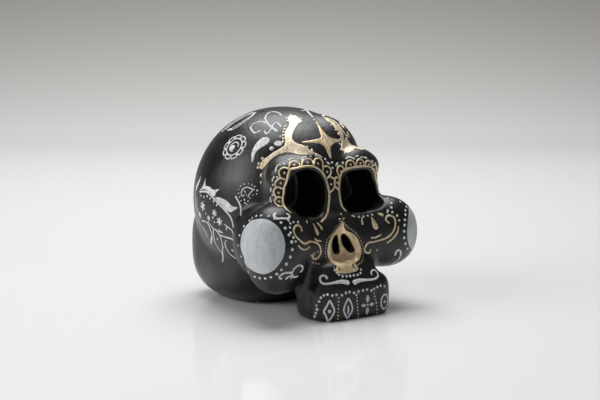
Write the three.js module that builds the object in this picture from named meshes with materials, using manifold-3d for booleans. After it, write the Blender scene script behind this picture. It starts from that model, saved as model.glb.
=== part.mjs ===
// A small painted craft skull without a lower jaw, cast hollow in two halves with
// cheek pads and a tooth block added, then decorated with raised paint.
// Millimetres, +Z up, the face looks along -Y, the skull's own right is -X.
// The origin is on the table, under the middle of the whole object.
import * as THREE from "three";
import { mergeVertices } from "three/addons/utils/BufferGeometryUtils.js";
import Module from "manifold-3d";

const wasm = await Module();
wasm.setup();

// ---------------------------------------------------------------- driving dimensions
const GAP = 0.3;               // clearance between any two pieces
const PAINT = 0.45;            // how far the paint stands above its own underside
const SEAM_Y = 4;              // plane where the front and rear castings meet
const BLEND = 4;               // softness of the valleys between neighbouring lumps
const SOCKET_BACK_Y = -12;     // bottom of the eye sockets
const SLOT_BACK_Y = -25;       // bottom of the two nose slots
const CAVITY = { y: 16.4, z: 42.5, rx: 29.5, ry: 23.5, rz: 31.5 };
const VENT = { y: 16, radius: 6.5 };
const DISC = { u: 10, v: 32.3, radius: 10.5 };   // painted disc on each cheek
const DOT_RING = { radius: 12, width: 1 };       // row of dots round each disc
const GROOVES_X = [-8.5, 0.9, 10.1];             // lines between the four teeth
const TEETH_X = [-12.5, -3.8, 5.5, 13.9];        // middles of the four teeth
const STROKE = 0.9;                              // pen stroke width

const BLACK = { color: 0x191a1b, roughness: 0.42, metalness: 0 };
const WHITE = { color: 0xc9ccd2, roughness: 0.62, metalness: 0 };
const GOLD = { color: 0xc2ab7a, roughness: 0.4, metalness: 0.55 };

// ---------------------------------------------------------------- modelled form
// Each lump of clay is a rounded ellipsoid: centre, half sizes, how square it is, and
// how far it is turned about the vertical.
function lump(x, y, z, rx, ry, rz, square = 2, turn = 0) {
  return { x, y, z, rx, ry, rz, square, turn: THREE.MathUtils.degToRad(turn) };
}

function bothSides(x, y, z, rx, ry, rz, square = 2, turn = 0) {
  return [lump(x, y, z, rx, ry, rz, square, turn), lump(-x, y, z, rx, ry, rz, square, -turn)];
}

const SKULL_LUMPS = [
  lump(0, 6.4, 44, 36.6, 37.5, 37.8, 2.05),           // cranium
  lump(0, 16.4, 24.2, 31.3, 26.5, 24.7, 2.9),         // rear base it rests on
  lump(0, -11.1, 42, 27, 19, 20, 2.4),                // middle of the face
  lump(0, -23.6, 29, 15, 13.5, 16, 2.4),              // nose and upper lip
  ...bothSides(13.5, -16.6, 49.5, 13, 14, 13),        // round the eyes
  ...bothSides(12.5, -21.6, 57, 12.8, 8.5, 7.5),      // brows
  ...bothSides(12, -25.1, 29, 12, 11.5, 15, 2.3),     // beside the nose
];

function cheekLumps(side) {
  return [
    lump(side * 25.6, -28.1, 29.8, 14.2, 11.5, 17.6, 2.2, side * -18),
    lump(side * 25.5, -17.1, 31, 11.5, 12, 15),
  ];
}

const JAW_LUMPS = [
  lump(0.6, -36.4, 8, 18, 7.6, 14.5, 9),              // row of teeth
  lump(0, -30.4, 15.5, 16.4, 11.2, 9.5, 3.4),         // gum above the teeth
];

function lumpDistance(p, l) {
  const dx = p.x - l.x;
  const dy = p.y - l.y;
  const dz = p.z - l.z;
  const c = Math.cos(l.turn);
  const s = Math.sin(l.turn);
  const ux = Math.abs(c * dx + s * dy) / l.rx;
  const uy = Math.abs(c * dy - s * dx) / l.ry;
  const uz = Math.abs(dz) / l.rz;
  const n = Math.pow(ux ** l.square + uy ** l.square + uz ** l.square, 1 / l.square);
  return Math.hypot(dx, dy, dz) * (1 - 1 / Math.max(n, 1e-6));
}

function blend(a, b) {
  const h = Math.max(BLEND - Math.abs(a - b), 0) / BLEND;
  return Math.min(a, b) - (h * h * BLEND) / 4;
}

function form(lumps) {
  return (p) => lumps.reduce((d, l) => blend(d, lumpDistance(p, l)), 1e6);
}

// ---------------------------------------------------------------- solids
function solid(geometry) {
  const bare = geometry.clone();
  bare.deleteAttribute("normal");
  bare.deleteAttribute("uv");
  const merged = mergeVertices(bare, 1e-4);
  return new wasm.Manifold(new wasm.Mesh({
    numProp: 3,
    vertProperties: new Float32Array(merged.attributes.position.array),
    triVerts: new Uint32Array(merged.index.array),
  }));
}

// A sphere whose points are pushed in from outside until they rest on the form.
function skin(centre, distance, reach, rings, sectors, lift = 0) {
  const geometry = new THREE.SphereGeometry(1, sectors, rings);
  geometry.rotateX(Math.PI / 2);
  const position = geometry.attributes.position;
  const way = new THREE.Vector3();
  const point = new THREE.Vector3();
  for (let i = 0; i < position.count; i += 1) {
    way.fromBufferAttribute(position, i);
    way.set(...way.toArray().map((value) => Math.round(value * 1e5) / 1e5 + 0)).normalize();
    const depthAt = (t) => distance(point.copy(centre).addScaledVector(way, t)) - lift;
    let low = reach;
    while (low > 1 && depthAt(low) > 0) low -= 0.5;
    let high = low + 0.5;
    for (let step = 0; step < 12; step += 1) {
      const middle = (low + high) / 2;
      if (depthAt(middle) > 0) high = middle;
      else low = middle;
    }
    depthAt(low);
    position.setXYZ(i, point.x, point.y, point.z);
  }
  return solid(geometry);
}

function box(width, depth, height, x, y, z, turnX = 0, turnY = 0, turnZ = 0) {
  const geometry = new THREE.BoxGeometry(width, depth, height);
  const turn = new THREE.Euler(turnX, turnY, turnZ);
  geometry.applyMatrix4(new THREE.Matrix4().makeRotationFromEuler(turn));
  geometry.translate(x, y, z);
  return solid(geometry);
}

function largest(body) {
  const bodies = body.decompose();
  return bodies.reduce((best, one) => (one.volume() > best.volume() ? one : best));
}

// ---------------------------------------------------------------- drawing planes
// A drawing plane faces azimuth (0 = straight out of the face, minus = the skull's right)
// and elevation. u runs to the right in it, v runs up; both are measured from the origin.
function plane(azimuth, elevation) {
  const a = THREE.MathUtils.degToRad(azimuth);
  const e = THREE.MathUtils.degToRad(elevation);
  const out = new THREE.Vector3(
    Math.sin(a) * Math.cos(e), -Math.cos(a) * Math.cos(e), Math.sin(e));
  const across = new THREE.Vector3(Math.cos(a), Math.sin(a), 0);
  const up = new THREE.Vector3().crossVectors(out, across);
  return new THREE.Matrix4().makeBasis(across, up, out);
}

// A flat shape in a drawing plane, drawn out along the plane's own direction.
function prism(shape, facing, from, to, segments = 6) {
  const settings = { depth: to - from, bevelEnabled: false, steps: 1, curveSegments: segments };
  const geometry = new THREE.ExtrudeGeometry(shape, settings);
  geometry.translate(0, 0, from);
  geometry.applyMatrix4(facing);
  return solid(geometry);
}

function points(list) {
  return list.map(([x, y]) => new THREE.Vector2(x, y));
}

function closedShape(list, perSpan = 2) {
  const ring = list.map(([x, y]) => new THREE.Vector3(x, y, 0));
  const curve = new THREE.CatmullRomCurve3(ring, true, "centripetal");
  const smooth = curve.getPoints(list.length * perSpan).slice(0, -1);
  return new THREE.Shape(smooth.map((p) => new THREE.Vector2(p.x, p.y)));
}

function circle(u, v, radius, sides = 10) {
  const ring = [];
  for (let i = 0; i < sides; i += 1) {
    const a = (i / sides) * Math.PI * 2;
    ring.push([u + Math.cos(a) * radius, v + Math.sin(a) * radius]);
  }
  return new THREE.Shape(points(ring));
}

function anticlockwise(list) {
  return THREE.ShapeUtils.isClockWise(list) ? list.reverse() : list;
}

function ringShape(outer, inner) {
  const ring = new THREE.Shape(anticlockwise(outer.getPoints()));
  ring.holes.push(new THREE.Path(anticlockwise(inner.getPoints())));
  return ring;
}

// Both edges of a pen stroke along a smooth path.
function strokeShape(list, width = STROKE, perSpan = 2) {
  const curve = new THREE.SplineCurve(points(list));
  const count = (list.length - 1) * perSpan;
  const left = [];
  const right = [];
  for (let i = 0; i <= count; i += 1) {
    const p = curve.getPoint(i / count);
    const t = curve.getTangent(i / count);
    left.push([p.x - t.y * width / 2, p.y + t.x * width / 2]);
    right.push([p.x + t.y * width / 2, p.y - t.x * width / 2]);
  }
  return new THREE.Shape(points([...left, ...right.reverse()]));
}

function mirrored(list) {
  return list.map(([x, y]) => [-x, y]).reverse();
}

const FACE = plane(0, 0);
const BROW = plane(0, 35);
const CROWN = plane(0, 60);
const BROW_SIDES = { right: plane(-30, 30), left: plane(30, 30) };
const CHEEKS = { right: plane(-62, 0), left: plane(62, 0) };
const TEMPLE = plane(-50, 30);
const LOOPS = plane(-45, 40);
const OVALS = plane(-45, 35);
const ROSETTE = plane(-75, 30);
const LEAF = plane(-70, 45);
const SMALL_PAISLEY = plane(-65, 15);
const SIDE = plane(-80, 0);

// ---------------------------------------------------------------- eye and nose outlines
const EYES = {
  right: [[-4.2, 56], [-8, 59.5], [-14, 60.4], [-19.4, 58.6], [-21.7, 54], [-22.5, 47],
    [-19.8, 42.4], [-14, 40.6], [-8, 40.9], [-4.6, 43.8], [-3.6, 50]],
  left: [[3.2, 54], [6, 57.3], [12, 58.6], [18, 58.3], [21.4, 55], [22.9, 48.5],
    [21.6, 44], [17, 41.3], [11, 40.6], [6, 41.4], [3.3, 44.6], [2.5, 49.5]],
};
const NOSE = [[0.3, 38.6], [2.4, 35.4], [5.4, 33.5], [7.6, 30.8], [7.8, 27.6], [5.6, 25],
  [3, 23.4], [3.4, 20.6], [-0.6, 19.8], [-4.8, 19.9], [-8, 20.9], [-7.4, 23.6],
  [-8.9, 25.6], [-8.8, 28.6], [-7.6, 31.4], [-5.4, 34], [-2.2, 36]];
const SLOTS = [
  [[-0.9, 33.2], [-2.4, 33], [-3.5, 29.8], [-3.3, 26.6], [-1.2, 26.2], [-0.5, 29]],
  [[1, 33.4], [2.6, 32.9], [3.9, 30], [4.5, 27.2], [3.2, 26.7], [1.7, 30]],
];

function eyePrism(side) {
  return prism(closedShape(EYES[side]), FACE, -SOCKET_BACK_Y, 60);
}

function sockets() {
  return eyePrism("right").add(eyePrism("left"));
}

function noseSlots() {
  return SLOTS.map((slot) => prism(closedShape(slot, 2), FACE, -SLOT_BACK_Y, 60))
    .reduce((a, b) => a.add(b));
}

function noseDish() {
  const geometry = new THREE.SphereGeometry(1, 12, 8);
  geometry.scale(6.2, 3.6, 8.6);
  geometry.translate(-0.3, -36.4, 29.5);
  return solid(geometry);
}

// ---------------------------------------------------------------- the cast body
const SKULL_CENTRE = new THREE.Vector3(0, 0, 40);
const JAW_CENTRE = new THREE.Vector3(0, -33, 11);
const skullForm = form(SKULL_LUMPS);
const jawForm = form(JAW_LUMPS);
const cheekForms = { right: form(cheekLumps(-1)), left: form(cheekLumps(1)) };

function wholeSkull(lift) {
  return skin(SKULL_CENTRE, skullForm, 62, 28, 40, lift);
}

function wholeCheek(side, lift) {
  const sign = side === "right" ? -1 : 1;
  const centre = new THREE.Vector3(sign * 25, -25, 30);
  return skin(centre, cheekForms[side], 34, 13, 18, lift);
}

function wholeJaw(lift) {
  return skin(JAW_CENTRE, jawForm, 34, 12, 20, lift);
}

const floor = box(200, 200, 40, 0, 0, -20);
const skullWithRoom = wholeSkull(GAP);

function cavity() {
  const geometry = new THREE.SphereGeometry(1, 20, 12);
  geometry.rotateX(Math.PI / 2);
  geometry.scale(CAVITY.rx, CAVITY.ry, CAVITY.rz);
  geometry.translate(0, CAVITY.y, CAVITY.z);
  return solid(geometry);
}

function vent() {
  const geometry = new THREE.CylinderGeometry(VENT.radius, VENT.radius, 30, 20);
  geometry.rotateX(Math.PI / 2);
  geometry.translate(0, VENT.y, 5);
  return solid(geometry);
}

function castings() {
  const whole = wholeSkull(0).subtract(floor).subtract(cavity()).subtract(vent())
    .subtract(sockets()).subtract(noseDish()).subtract(noseSlots());
  const half = 100;
  const front = box(200, half, 200, 0, SEAM_Y - GAP / 2 - half / 2, 0);
  const rear = box(200, half, 200, 0, SEAM_Y + GAP / 2 + half / 2, 0);
  return { front: largest(whole.intersect(front)), rear: largest(whole.intersect(rear)) };
}

function cheekPad(side) {
  return largest(wholeCheek(side, 0).subtract(skullWithRoom).subtract(eyePrism(side)));
}

function toothBlock() {
  let block = wholeJaw(0).subtract(skullWithRoom);
  const quarter = Math.PI / 4;
  for (const x of GROOVES_X) {
    block = block.subtract(box(1, 1, 14, x, -43.8, 6.7, 0, 0, quarter));
    block = block.subtract(box(2.4, 14, 2.4, x, -41, -0.2, 0, quarter, 0));
  }
  block = block.subtract(wholeCheek("right", GAP)).subtract(wholeCheek("left", GAP));
  return largest(block.subtract(floor));
}

// ---------------------------------------------------------------- the paint
// Paint follows the body at a small clearance and stands PAINT higher.
function coat(lift) {
  return wholeSkull(lift).add(wholeJaw(lift))
    .add(wholeCheek("right", lift)).add(wholeCheek("left", lift));
}

const paintLayer = coat(GAP + PAINT).subtract(coat(GAP)).subtract(sockets())
  .subtract(noseSlots()).subtract(noseDish()).subtract(floor);

function painted(shapes, facing, from = 8, to = 90) {
  const outlines = shapes.map((shape) => prism(shape, facing, from, to));
  const whole = outlines.reduce((a, b) => a.add(b));
  return largest(paintLayer.intersect(whole));
}

function cheekDisc(side) {
  const u = side === "right" ? DISC.u : -DISC.u;
  return painted([circle(u, DISC.v, DISC.radius, 20)], CHEEKS[side], 15);
}

function cheekDotRing(side) {
  const u = side === "right" ? DISC.u : -DISC.u;
  const outer = circle(u, DISC.v, DOT_RING.radius + DOT_RING.width / 2, 18);
  const inner = circle(u, DISC.v, DOT_RING.radius - DOT_RING.width / 2, 18);
  return painted([ringShape(outer, inner)], CHEEKS[side], 15);
}

// The outline moved outwards (or inwards) from its own middle by a distance.
function grown(list, by) {
  const cx = list.reduce((sum, p) => sum + p[0], 0) / list.length;
  const cy = list.reduce((sum, p) => sum + p[1], 0) / list.length;
  return list.map(([x, y]) => {
    const away = Math.hypot(x - cx, y - cy);
    return [x + ((x - cx) / away) * by, y + ((y - cy) / away) * by];
  });
}

function eyeRim(side) {
  const outer = closedShape(grown(EYES[side], 1.1));
  return painted([ringShape(outer, closedShape(grown(EYES[side], 0.1)))], FACE, 12);
}

const BROW_ARC = {
  right: [[-25, 47.4], [-24.6, 52], [-24, 56.4], [-21.8, 60.6], [-17.4, 62.6],
    [-12, 63.1], [-7, 62.5], [-3.6, 60.7], [-1.9, 57.9]],
  left: [[0.9, 57.2], [3, 59.8], [7.6, 61.2], [12, 61.6], [16.5, 61.4],
    [20.8, 59.8], [23.6, 56.8], [25.2, 52.5], [25.8, 48]],
};

function eyeScallops(side) {
  return painted([strokeShape(BROW_ARC[side], 1.9, 1)], FACE, 8);
}

function eyeDotArc(side) {
  const right = [[-27, 48], [-26.6, 54], [-25.2, 59], [-22, 62.6], [-16, 64.5],
    [-9, 64.8], [-4, 63.9], [-1, 61.2]];
  const left = [[0.9, 60.4], [4, 62], [8, 62.9], [12, 63.2], [17, 63], [21.6, 61.4],
    [24.6, 58.6], [26.4, 55]];
  return painted([strokeShape(side === "right" ? right : left, 0.8, 2)], FACE, 6);
}

function foreheadStar() {
  const tips = [[3.2, 56], [2.2, 48.5], [10.4, 44.6], [2.8, 43.4], [0.9, 36.8],
    [-0.2, 43.6], [-8, 45.2], [0.2, 46.9]];
  return painted([new THREE.Shape(points(tips))], BROW, 10);
}

const CREST = [[-2.6, 60.2], [0.8, 63.2], [3.2, 61], [0.2, 57], [-1.2, 52.2], [0, 48.4],
  [3.4, 47.7], [7.2, 45.2], [2, 43.6], [-3, 44.1], [-7, 43], [-10.4, 41.6], [-13.6, 39.4],
  [-15, 40.6], [-12, 43.6], [-8.2, 46], [-4.4, 48], [-4.4, 53], [-2.8, 57]];

function crest(side) {
  const list = side === "right" ? CREST : mirrored(CREST).map(([x, y]) => [x + 1, y - 0.6]);
  return painted([new THREE.Shape(points(list))], BROW_SIDES[side], 10);
}

const SCROLL_RIGHT = [[-21, 37.2], [-21.4, 39.2], [-23.4, 39.9], [-25.4, 38.6], [-25, 36.4],
  [-22.8, 34.3], [-19.9, 32.6], [-16, 32.6], [-12.6, 31.6], [-11.3, 29], [-12.4, 26.6],
  [-14.4, 25.9], [-15.2, 27.4]];
const SCROLL_LEFT = [[21.4, 37], [20.3, 38.3], [21.6, 39.8], [23.5, 38.6], [23.2, 35.6],
  [21.6, 32.5], [18.8, 30.4], [15.2, 29.7], [12, 29.6], [10.2, 27.8], [10.6, 26.2],
  [12.6, 25.9]];

function noseLeaf() {
  return painted([closedShape(NOSE, 2)], FACE, 25);
}

function petal(u, v, length, width, turn) {
  const c = Math.cos(turn);
  const s = Math.sin(turn);
  const list = [[0, length / 2], [width / 2, 0], [width / 3, -length / 3], [0, -length / 2],
    [-width / 3, -length / 3], [-width / 2, 0]];
  return closedShape(list.map(([x, y]) => [u + c * x - s * y, v + s * x + c * y]), 2);
}

function underEyeDrop(u, v, length, width, turn) {
  return painted([petal(u, v, length, width, turn)], FACE, 20);
}

const MOUSTACHE_RIGHT = [[-1.8, 16.1], [-5, 16.6], [-9, 16.7], [-13, 16.6], [-15.2, 18.2],
  [-14.4, 20]];
const MOUSTACHE_LEFT = [[0.2, 16.1], [3, 16.6], [7, 16.6], [10.4, 16.9], [11.4, 18.6],
  [9.6, 20]];

function toothDotLine() {
  const list = [[-16.4, 1.6], [-16.2, 5], [-16, 9], [-14.6, 12.4], [-11, 12.9],
    [-7, 12.7], [-2, 12.9], [4, 13], [9, 13], [14.6, 13]];
  return painted([strokeShape(list, 1)], FACE, 30);
}

function toothMotif(index) {
  const u = TEETH_X[index];
  const v = 7;
  const lozenge = (w, h) => new THREE.Shape(points([[u, v + h], [u + w, v], [u, v - h],
    [u - w, v]]));
  const shapes = [
    [ringShape(lozenge(2.3, 4.2), lozenge(1.3, 2.6))],
    [petal(u, v, 7.6, 3.6, 0)],
    [petal(u, v, 7, 2, 0), petal(u, v, 5, 2, Math.PI / 2)],
    [ringShape(circle(u, v, 2.3, 12), circle(u, v, 1.3, 12))],
  ];
  return painted(shapes[index], FACE, 30);
}

function toothLine(index) {
  const x = GROOVES_X[index];
  return painted([strokeShape([[x, 11.6], [x, 7], [x, 2.2]], 0.9, 1)], FACE, 30);
}

function beadRow() {
  const list = [[-9.4, 21.8], [-8.6, 19.6], [-5.4, 18.4], [-2, 18.3], [1.8, 18.7], [4.7, 20.7]];
  return painted([strokeShape(list, 0.9)], FACE, 30);
}

function crownCross() {
  const upright = strokeShape([[3.2, 40], [3.6, 35], [3.3, 28.4]], 0.9, 1);
  const arm = strokeShape([[1.4, 38], [6, 38]], 0.9, 1);
  return painted([upright, arm], CROWN, 10);
}

function templeDrop() {
  const list = [[-8.2, 39.6], [-9, 44.6], [-7.4, 48.4], [-4.9, 50.8], [-2.6, 49.6],
    [-3, 47], [-5.4, 45], [-7.2, 42.8]];
  return painted([closedShape(list, 2)], TEMPLE, 10);
}

function loopScroll() {
  const top = [[-2.4, 54.2], [-4.6, 57.4], [-7.8, 57.6], [-8.6, 53], [-6.6, 48.6], [-1.9, 43.8]];
  const outer = [[-6.8, 48.6], [-9.6, 49.9], [-12.6, 49.6], [-13.6, 47], [-11.8, 44.4],
    [-9.6, 45]];
  const inner = [[-7.8, 44.2], [-6.2, 42.8], [-4.8, 45.4], [-3.6, 48.6], [-1.4, 47]];
  return painted([top, outer, inner].map((list) => strokeShape(list)), LOOPS, 10);
}

function rosette() {
  const u = -6;
  const v = 44.7;
  const shapes = [circle(u, v, 1.6, 6), ringShape(circle(u, v, 3.8, 12), circle(u, v, 2.9, 12))];
  for (let i = 0; i < 8; i += 1) {
    const a = ((i + 0.5) / 8) * Math.PI * 2;
    shapes.push(circle(u + Math.cos(a) * 4.4, v + Math.sin(a) * 4.6, 1, 5));
  }
  shapes.push(strokeShape([[u - 3.4, v], [u + 3.4, v]], 0.8, 1));
  return painted(shapes, ROSETTE, 10);
}

function crownLeaf() {
  const outer = [[-20.6, 38.6], [-19.6, 43], [-15.6, 48.4], [-11.6, 51], [-12, 45.6],
    [-15.6, 40.6]];
  return painted([ringShape(closedShape(outer), closedShape(grown(outer, -1.3)))], LEAF, 10);
}

function smallPaisley() {
  const outer = [[-3.4, 38], [-3.6, 41], [-1.2, 42.6], [2.2, 41.4], [0.4, 39], [-1.6, 35.4]];
  const shape = ringShape(closedShape(outer), closedShape(grown(outer, -1)));
  return painted([shape], SMALL_PAISLEY, 10);
}

function sideStem() {
  const list = [[-5.9, 48.6], [-3.9, 46.4], [-2.9, 43.8], [-2.4, 41.6]];
  return painted([strokeShape(list)], plane(-65, 0), 10);
}

function sidePlant() {
  const leaf = [[-16.4, 54], [-14.6, 51.4], [-7, 50.4], [-7.4, 48.6], [-2.2, 47.5],
    [1, 45.4], [4.4, 44.2], [1.4, 42.6], [1.4, 40], [2.8, 36.2], [-3.6, 36.6], [-9, 37.2],
    [-15.4, 38], [-19.4, 43], [-22.4, 47], [-19.8, 49.4], [-17.4, 50.4]];
  const lower = [[-10.2, 37.4], [-12.8, 31.4], [-9.6, 32.6], [-8, 29], [-10.6, 21],
    [-7.4, 26], [-5.4, 30.4], [-4.4, 27], [-2.8, 23.6], [-0.4, 28], [-0.6, 32], [-4.8, 32.6],
    [-6, 37]];
  return painted([leaf, lower].map((list) => new THREE.Shape(points(list))), SIDE, 10);
}

function foreheadSprigLeft() {
  const list = [[5.6, 55.6], [7.4, 53.4], [8.4, 50.8], [8.6, 48]];
  return painted([strokeShape(list, 1)], plane(35, 35), 10);
}

function cheekHookRight() {
  const list = [[-1.4, 27], [-0.8, 25.4], [1.2, 25.2], [3.6, 25.3]];
  return painted([strokeShape(list)], plane(-40, 20), 10);
}

function cheekRibbonRight() {
  const bow = [[-7.6, 20.8], [-7.6, 22.4], [-5, 22.8], [-3.6, 21.6], [-1.2, 20.6]];
  const loop = [[-3.8, 21.4], [-2.6, 24], [-0.4, 24.9], [1, 23.4], [-0.2, 21.9]];
  return painted([strokeShape(bow), strokeShape(loop)], plane(-30, 0), 10);
}

function cheekHookLeft() {
  const list = [[9.2, 24.1], [10.3, 25.9], [12, 23.6], [11, 20.8], [9.6, 19.2]];
  return painted([strokeShape(list)], plane(20, 0), 10);
}

// ---------------------------------------------------------------- scene graph
// A mesh drawn about its own middle and placed there.
function piece(name, body, look) {
  const made = body.getMesh();
  const geometry = new THREE.BufferGeometry();
  const array = new Float32Array(made.vertProperties);
  geometry.setAttribute("position", new THREE.BufferAttribute(array, made.numProp));
  geometry.setIndex(new THREE.BufferAttribute(new Uint32Array(made.triVerts), 1));
  geometry.computeBoundingBox();
  const middle = geometry.boundingBox.getCenter(new THREE.Vector3());
  middle.set(...middle.toArray().map((value) => Math.round(value)));
  geometry.translate(-middle.x, -middle.y, -middle.z);
  geometry.computeVertexNormals();
  const mesh = new THREE.Mesh(geometry, new THREE.MeshStandardMaterial(look));
  mesh.name = name;
  mesh.position.copy(middle);
  return mesh;
}

const group = new THREE.Group();
const body = new THREE.Group();
const white = new THREE.Group();
const gold = new THREE.Group();
group.add(body, white, gold);

const { front, rear } = castings();
body.add(
  piece("face_casting", front, BLACK),
  piece("cranium_casting", rear, BLACK),
  piece("cheek_pad_right", cheekPad("right"), BLACK),
  piece("cheek_pad_left", cheekPad("left"), BLACK),
  piece("upper_tooth_block", toothBlock(), BLACK),
);

for (const side of ["right", "left"]) {
  white.add(
    piece(`cheek_disc_${side}`, cheekDisc(side), WHITE),
    piece(`cheek_dot_ring_${side}`, cheekDotRing(side), WHITE),
    piece(`eye_dot_arc_${side}`, eyeDotArc(side), WHITE),
  );
  gold.add(
    piece(`eye_rim_${side}`, eyeRim(side), GOLD),
    piece(`eye_scallops_${side}`, eyeScallops(side), GOLD),
    piece(`brow_crest_${side}`, crest(side), GOLD),
  );
}

white.add(
  piece("moustache_right", painted([strokeShape(MOUSTACHE_RIGHT, 1.2)], FACE, 30), WHITE),
  piece("moustache_left", painted([strokeShape(MOUSTACHE_LEFT, 1.2)], FACE, 30), WHITE),
  piece("tooth_dot_line", toothDotLine(), WHITE),
  piece("nose_bead_row", beadRow(), WHITE),
  piece("crown_cross", crownCross(), WHITE),
  piece("temple_drop", templeDrop(), WHITE),
  piece("temple_oval_large", painted([circle(-1.1, 43.1, 1.5, 12)], OVALS, 10), WHITE),
  piece("temple_oval_small", painted([circle(-3.6, 40.3, 1.1, 10)], OVALS, 10), WHITE),
  piece("crown_loop_scroll", loopScroll(), WHITE),
  piece("side_rosette", rosette(), WHITE),
  piece("crown_leaf", crownLeaf(), WHITE),
  piece("small_paisley", smallPaisley(), WHITE),
  piece("side_stem", sideStem(), WHITE),
  piece("side_plant", sidePlant(), WHITE),
  piece("forehead_sprig_left", foreheadSprigLeft(), WHITE),
  piece("cheek_hook_right", cheekHookRight(), WHITE),
  piece("cheek_ribbon_right", cheekRibbonRight(), WHITE),
  piece("cheek_hook_left", cheekHookLeft(), WHITE),
);
for (const index of TEETH_X.keys()) {
  white.add(piece(`tooth_motif_${index + 1}`, toothMotif(index), WHITE));
}

gold.add(
  piece("forehead_star", foreheadStar(), GOLD),
  piece("nose_leaf", noseLeaf(), GOLD),
  piece("cheek_scroll_right", painted([strokeShape(SCROLL_RIGHT)], FACE, 25), GOLD),
  piece("cheek_scroll_left", painted([strokeShape(SCROLL_LEFT)], FACE, 25), GOLD),
  piece("under_eye_drop_right", underEyeDrop(-12.7, 36.7, 4.6, 1.6, 0.2), GOLD),
  piece("under_eye_tick_right", underEyeDrop(-10, 37.4, 3, 1.1, 0.5), GOLD),
  piece("under_eye_drop_left", underEyeDrop(15.8, 36.8, 4.8, 2, 0.2), GOLD),
  piece("under_eye_tick_left", underEyeDrop(10, 37.6, 2.8, 1.1, 0), GOLD),
);
for (const index of GROOVES_X.keys()) {
  gold.add(piece(`tooth_line_${index + 1}`, toothLine(index), GOLD));
}

export default group;
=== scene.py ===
import math

import bmesh
import bpy
import numpy as np
from mathutils import Matrix, Vector
from mathutils.bvhtree import BVHTree


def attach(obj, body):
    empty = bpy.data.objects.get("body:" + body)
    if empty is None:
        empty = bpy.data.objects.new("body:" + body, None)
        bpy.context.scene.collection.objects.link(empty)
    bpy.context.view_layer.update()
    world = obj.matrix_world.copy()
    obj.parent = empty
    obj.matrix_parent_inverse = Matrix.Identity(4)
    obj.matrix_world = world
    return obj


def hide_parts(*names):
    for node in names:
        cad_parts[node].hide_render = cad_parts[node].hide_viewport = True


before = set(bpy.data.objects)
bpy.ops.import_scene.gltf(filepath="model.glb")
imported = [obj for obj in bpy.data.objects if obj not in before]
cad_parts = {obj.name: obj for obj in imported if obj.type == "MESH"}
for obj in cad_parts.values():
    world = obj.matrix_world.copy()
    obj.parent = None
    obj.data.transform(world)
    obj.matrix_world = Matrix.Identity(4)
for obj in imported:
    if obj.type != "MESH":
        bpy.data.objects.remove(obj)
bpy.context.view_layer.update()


# ---------------------------------------------------------------- camera
# A long lens a little above the skull, looking down on its right cheek and face. It
# stands off to the skull's right and looks a little past it.
MM = 0.001
VIEW_TURN = math.radians(35)
VIEW_DISTANCE = 513
VIEW_HEIGHT = 113
VIEW_ASIDE = 5.3
SKULL_FORWARD = 2.9
VIEW_DOWN = math.atan(0.136)

looking = Vector((math.sin(VIEW_TURN), math.cos(VIEW_TURN), 0))
aside = Vector((math.cos(VIEW_TURN), -math.sin(VIEW_TURN), 0))
place = looking * -VIEW_DISTANCE + aside * VIEW_ASIDE
place += Vector((0, SKULL_FORWARD, VIEW_HEIGHT))

view = bpy.data.cameras.new("view")
view.lens = 75
view.sensor_width = 36
view.clip_start = 0.01
view.clip_end = 20
camera = bpy.data.objects.new("view", view)
bpy.context.scene.collection.objects.link(camera)
camera.location = place * MM
camera.rotation_euler = (math.pi / 2 - VIEW_DOWN, 0, -VIEW_TURN)
bpy.context.scene.camera = camera

# ---------------------------------------------------------------- clay body
# The body is fired clay: a cranium on a flat base, a face, domed cheeks and a block of
# upper teeth. The joints between them are smoothed over with a wet finger before it is
# fired, so it shows as one skin. Only that outer skin is made here, not the hollow.
COARSE_GRAIN = 0.9
FINE_GRAIN = 0.65
CLAY_LUMPS = [
    # name, middle, half sizes (mm), how square, turn, on both sides
    ("cranium", (0, 6.4, 44), (36.6, 37.5, 37.8), 2.05, 0, False),
    ("rear_base", (0, 16.4, 24.2), (31.3, 26.5, 24.7), 2.9, 0, False),
    ("mid_face", (0, -11.1, 42), (27, 19, 20), 2.4, 0, False),
    ("round_eye_right", (-13.5, -16.6, 49.5), (13, 14, 13), 2, 0, False),
    ("round_eye_left", (14.6, -16.8, 49.3), (13.9, 14, 13.2), 2, 0, False),
    ("brow_right", (-12.5, -21.6, 57), (12.8, 8.5, 7.5), 2, 0, False),
    ("brow_left", (14.5, -20.8, 58.3), (13.4, 9.2, 8), 2, 0, False),
    ("forehead_left", (8, -4, 60), (19.6, 19, 19.2), 2, 0, False),
    ("cheek_knob_right", (-25.6, -28.1, 29.8), (14.2, 11.5, 17.6), 2.2, 18, False),
    ("cheek_knob_left", (25.6, -28.1, 32), (14.4, 11.5, 14.6), 2.2, -18, False),
    ("cheek_arch", (25.5, -17.1, 31), (11.5, 12, 15), 2, 0, True),
    ("beside_nose", (12, -25.1, 29), (12, 11.5, 15), 2.3, 0, True),
    ("muzzle", (0, -23.6, 29), (15, 13.5, 16), 2.4, 0, False),
    ("tooth_block", (1.8, -33.4, 9.2), (18.3, 10.9, 9.8), 4.4, 0, False),
    ("gum", (0, -30.4, 15.5), (16.4, 11.2, 9.5), 3.4, 0, False),
]


def lump_of_clay(middle, half_sizes, square, turn):
    """A ball squared off and stretched to size, as a thumb presses a lump."""
    bpy.ops.mesh.primitive_uv_sphere_add(segments=48, ring_count=24, radius=1)
    lump = bpy.context.object
    for vertex in lump.data.vertices:
        p = vertex.co
        reach = sum(abs(part) ** square for part in p) ** (1 / square)
        vertex.co = p / reach
    lump.scale = Vector(half_sizes) * MM
    lump.rotation_euler = (0, 0, math.radians(turn))
    lump.location = Vector(middle) * MM
    bpy.ops.object.transform_apply()
    return lump


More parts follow.
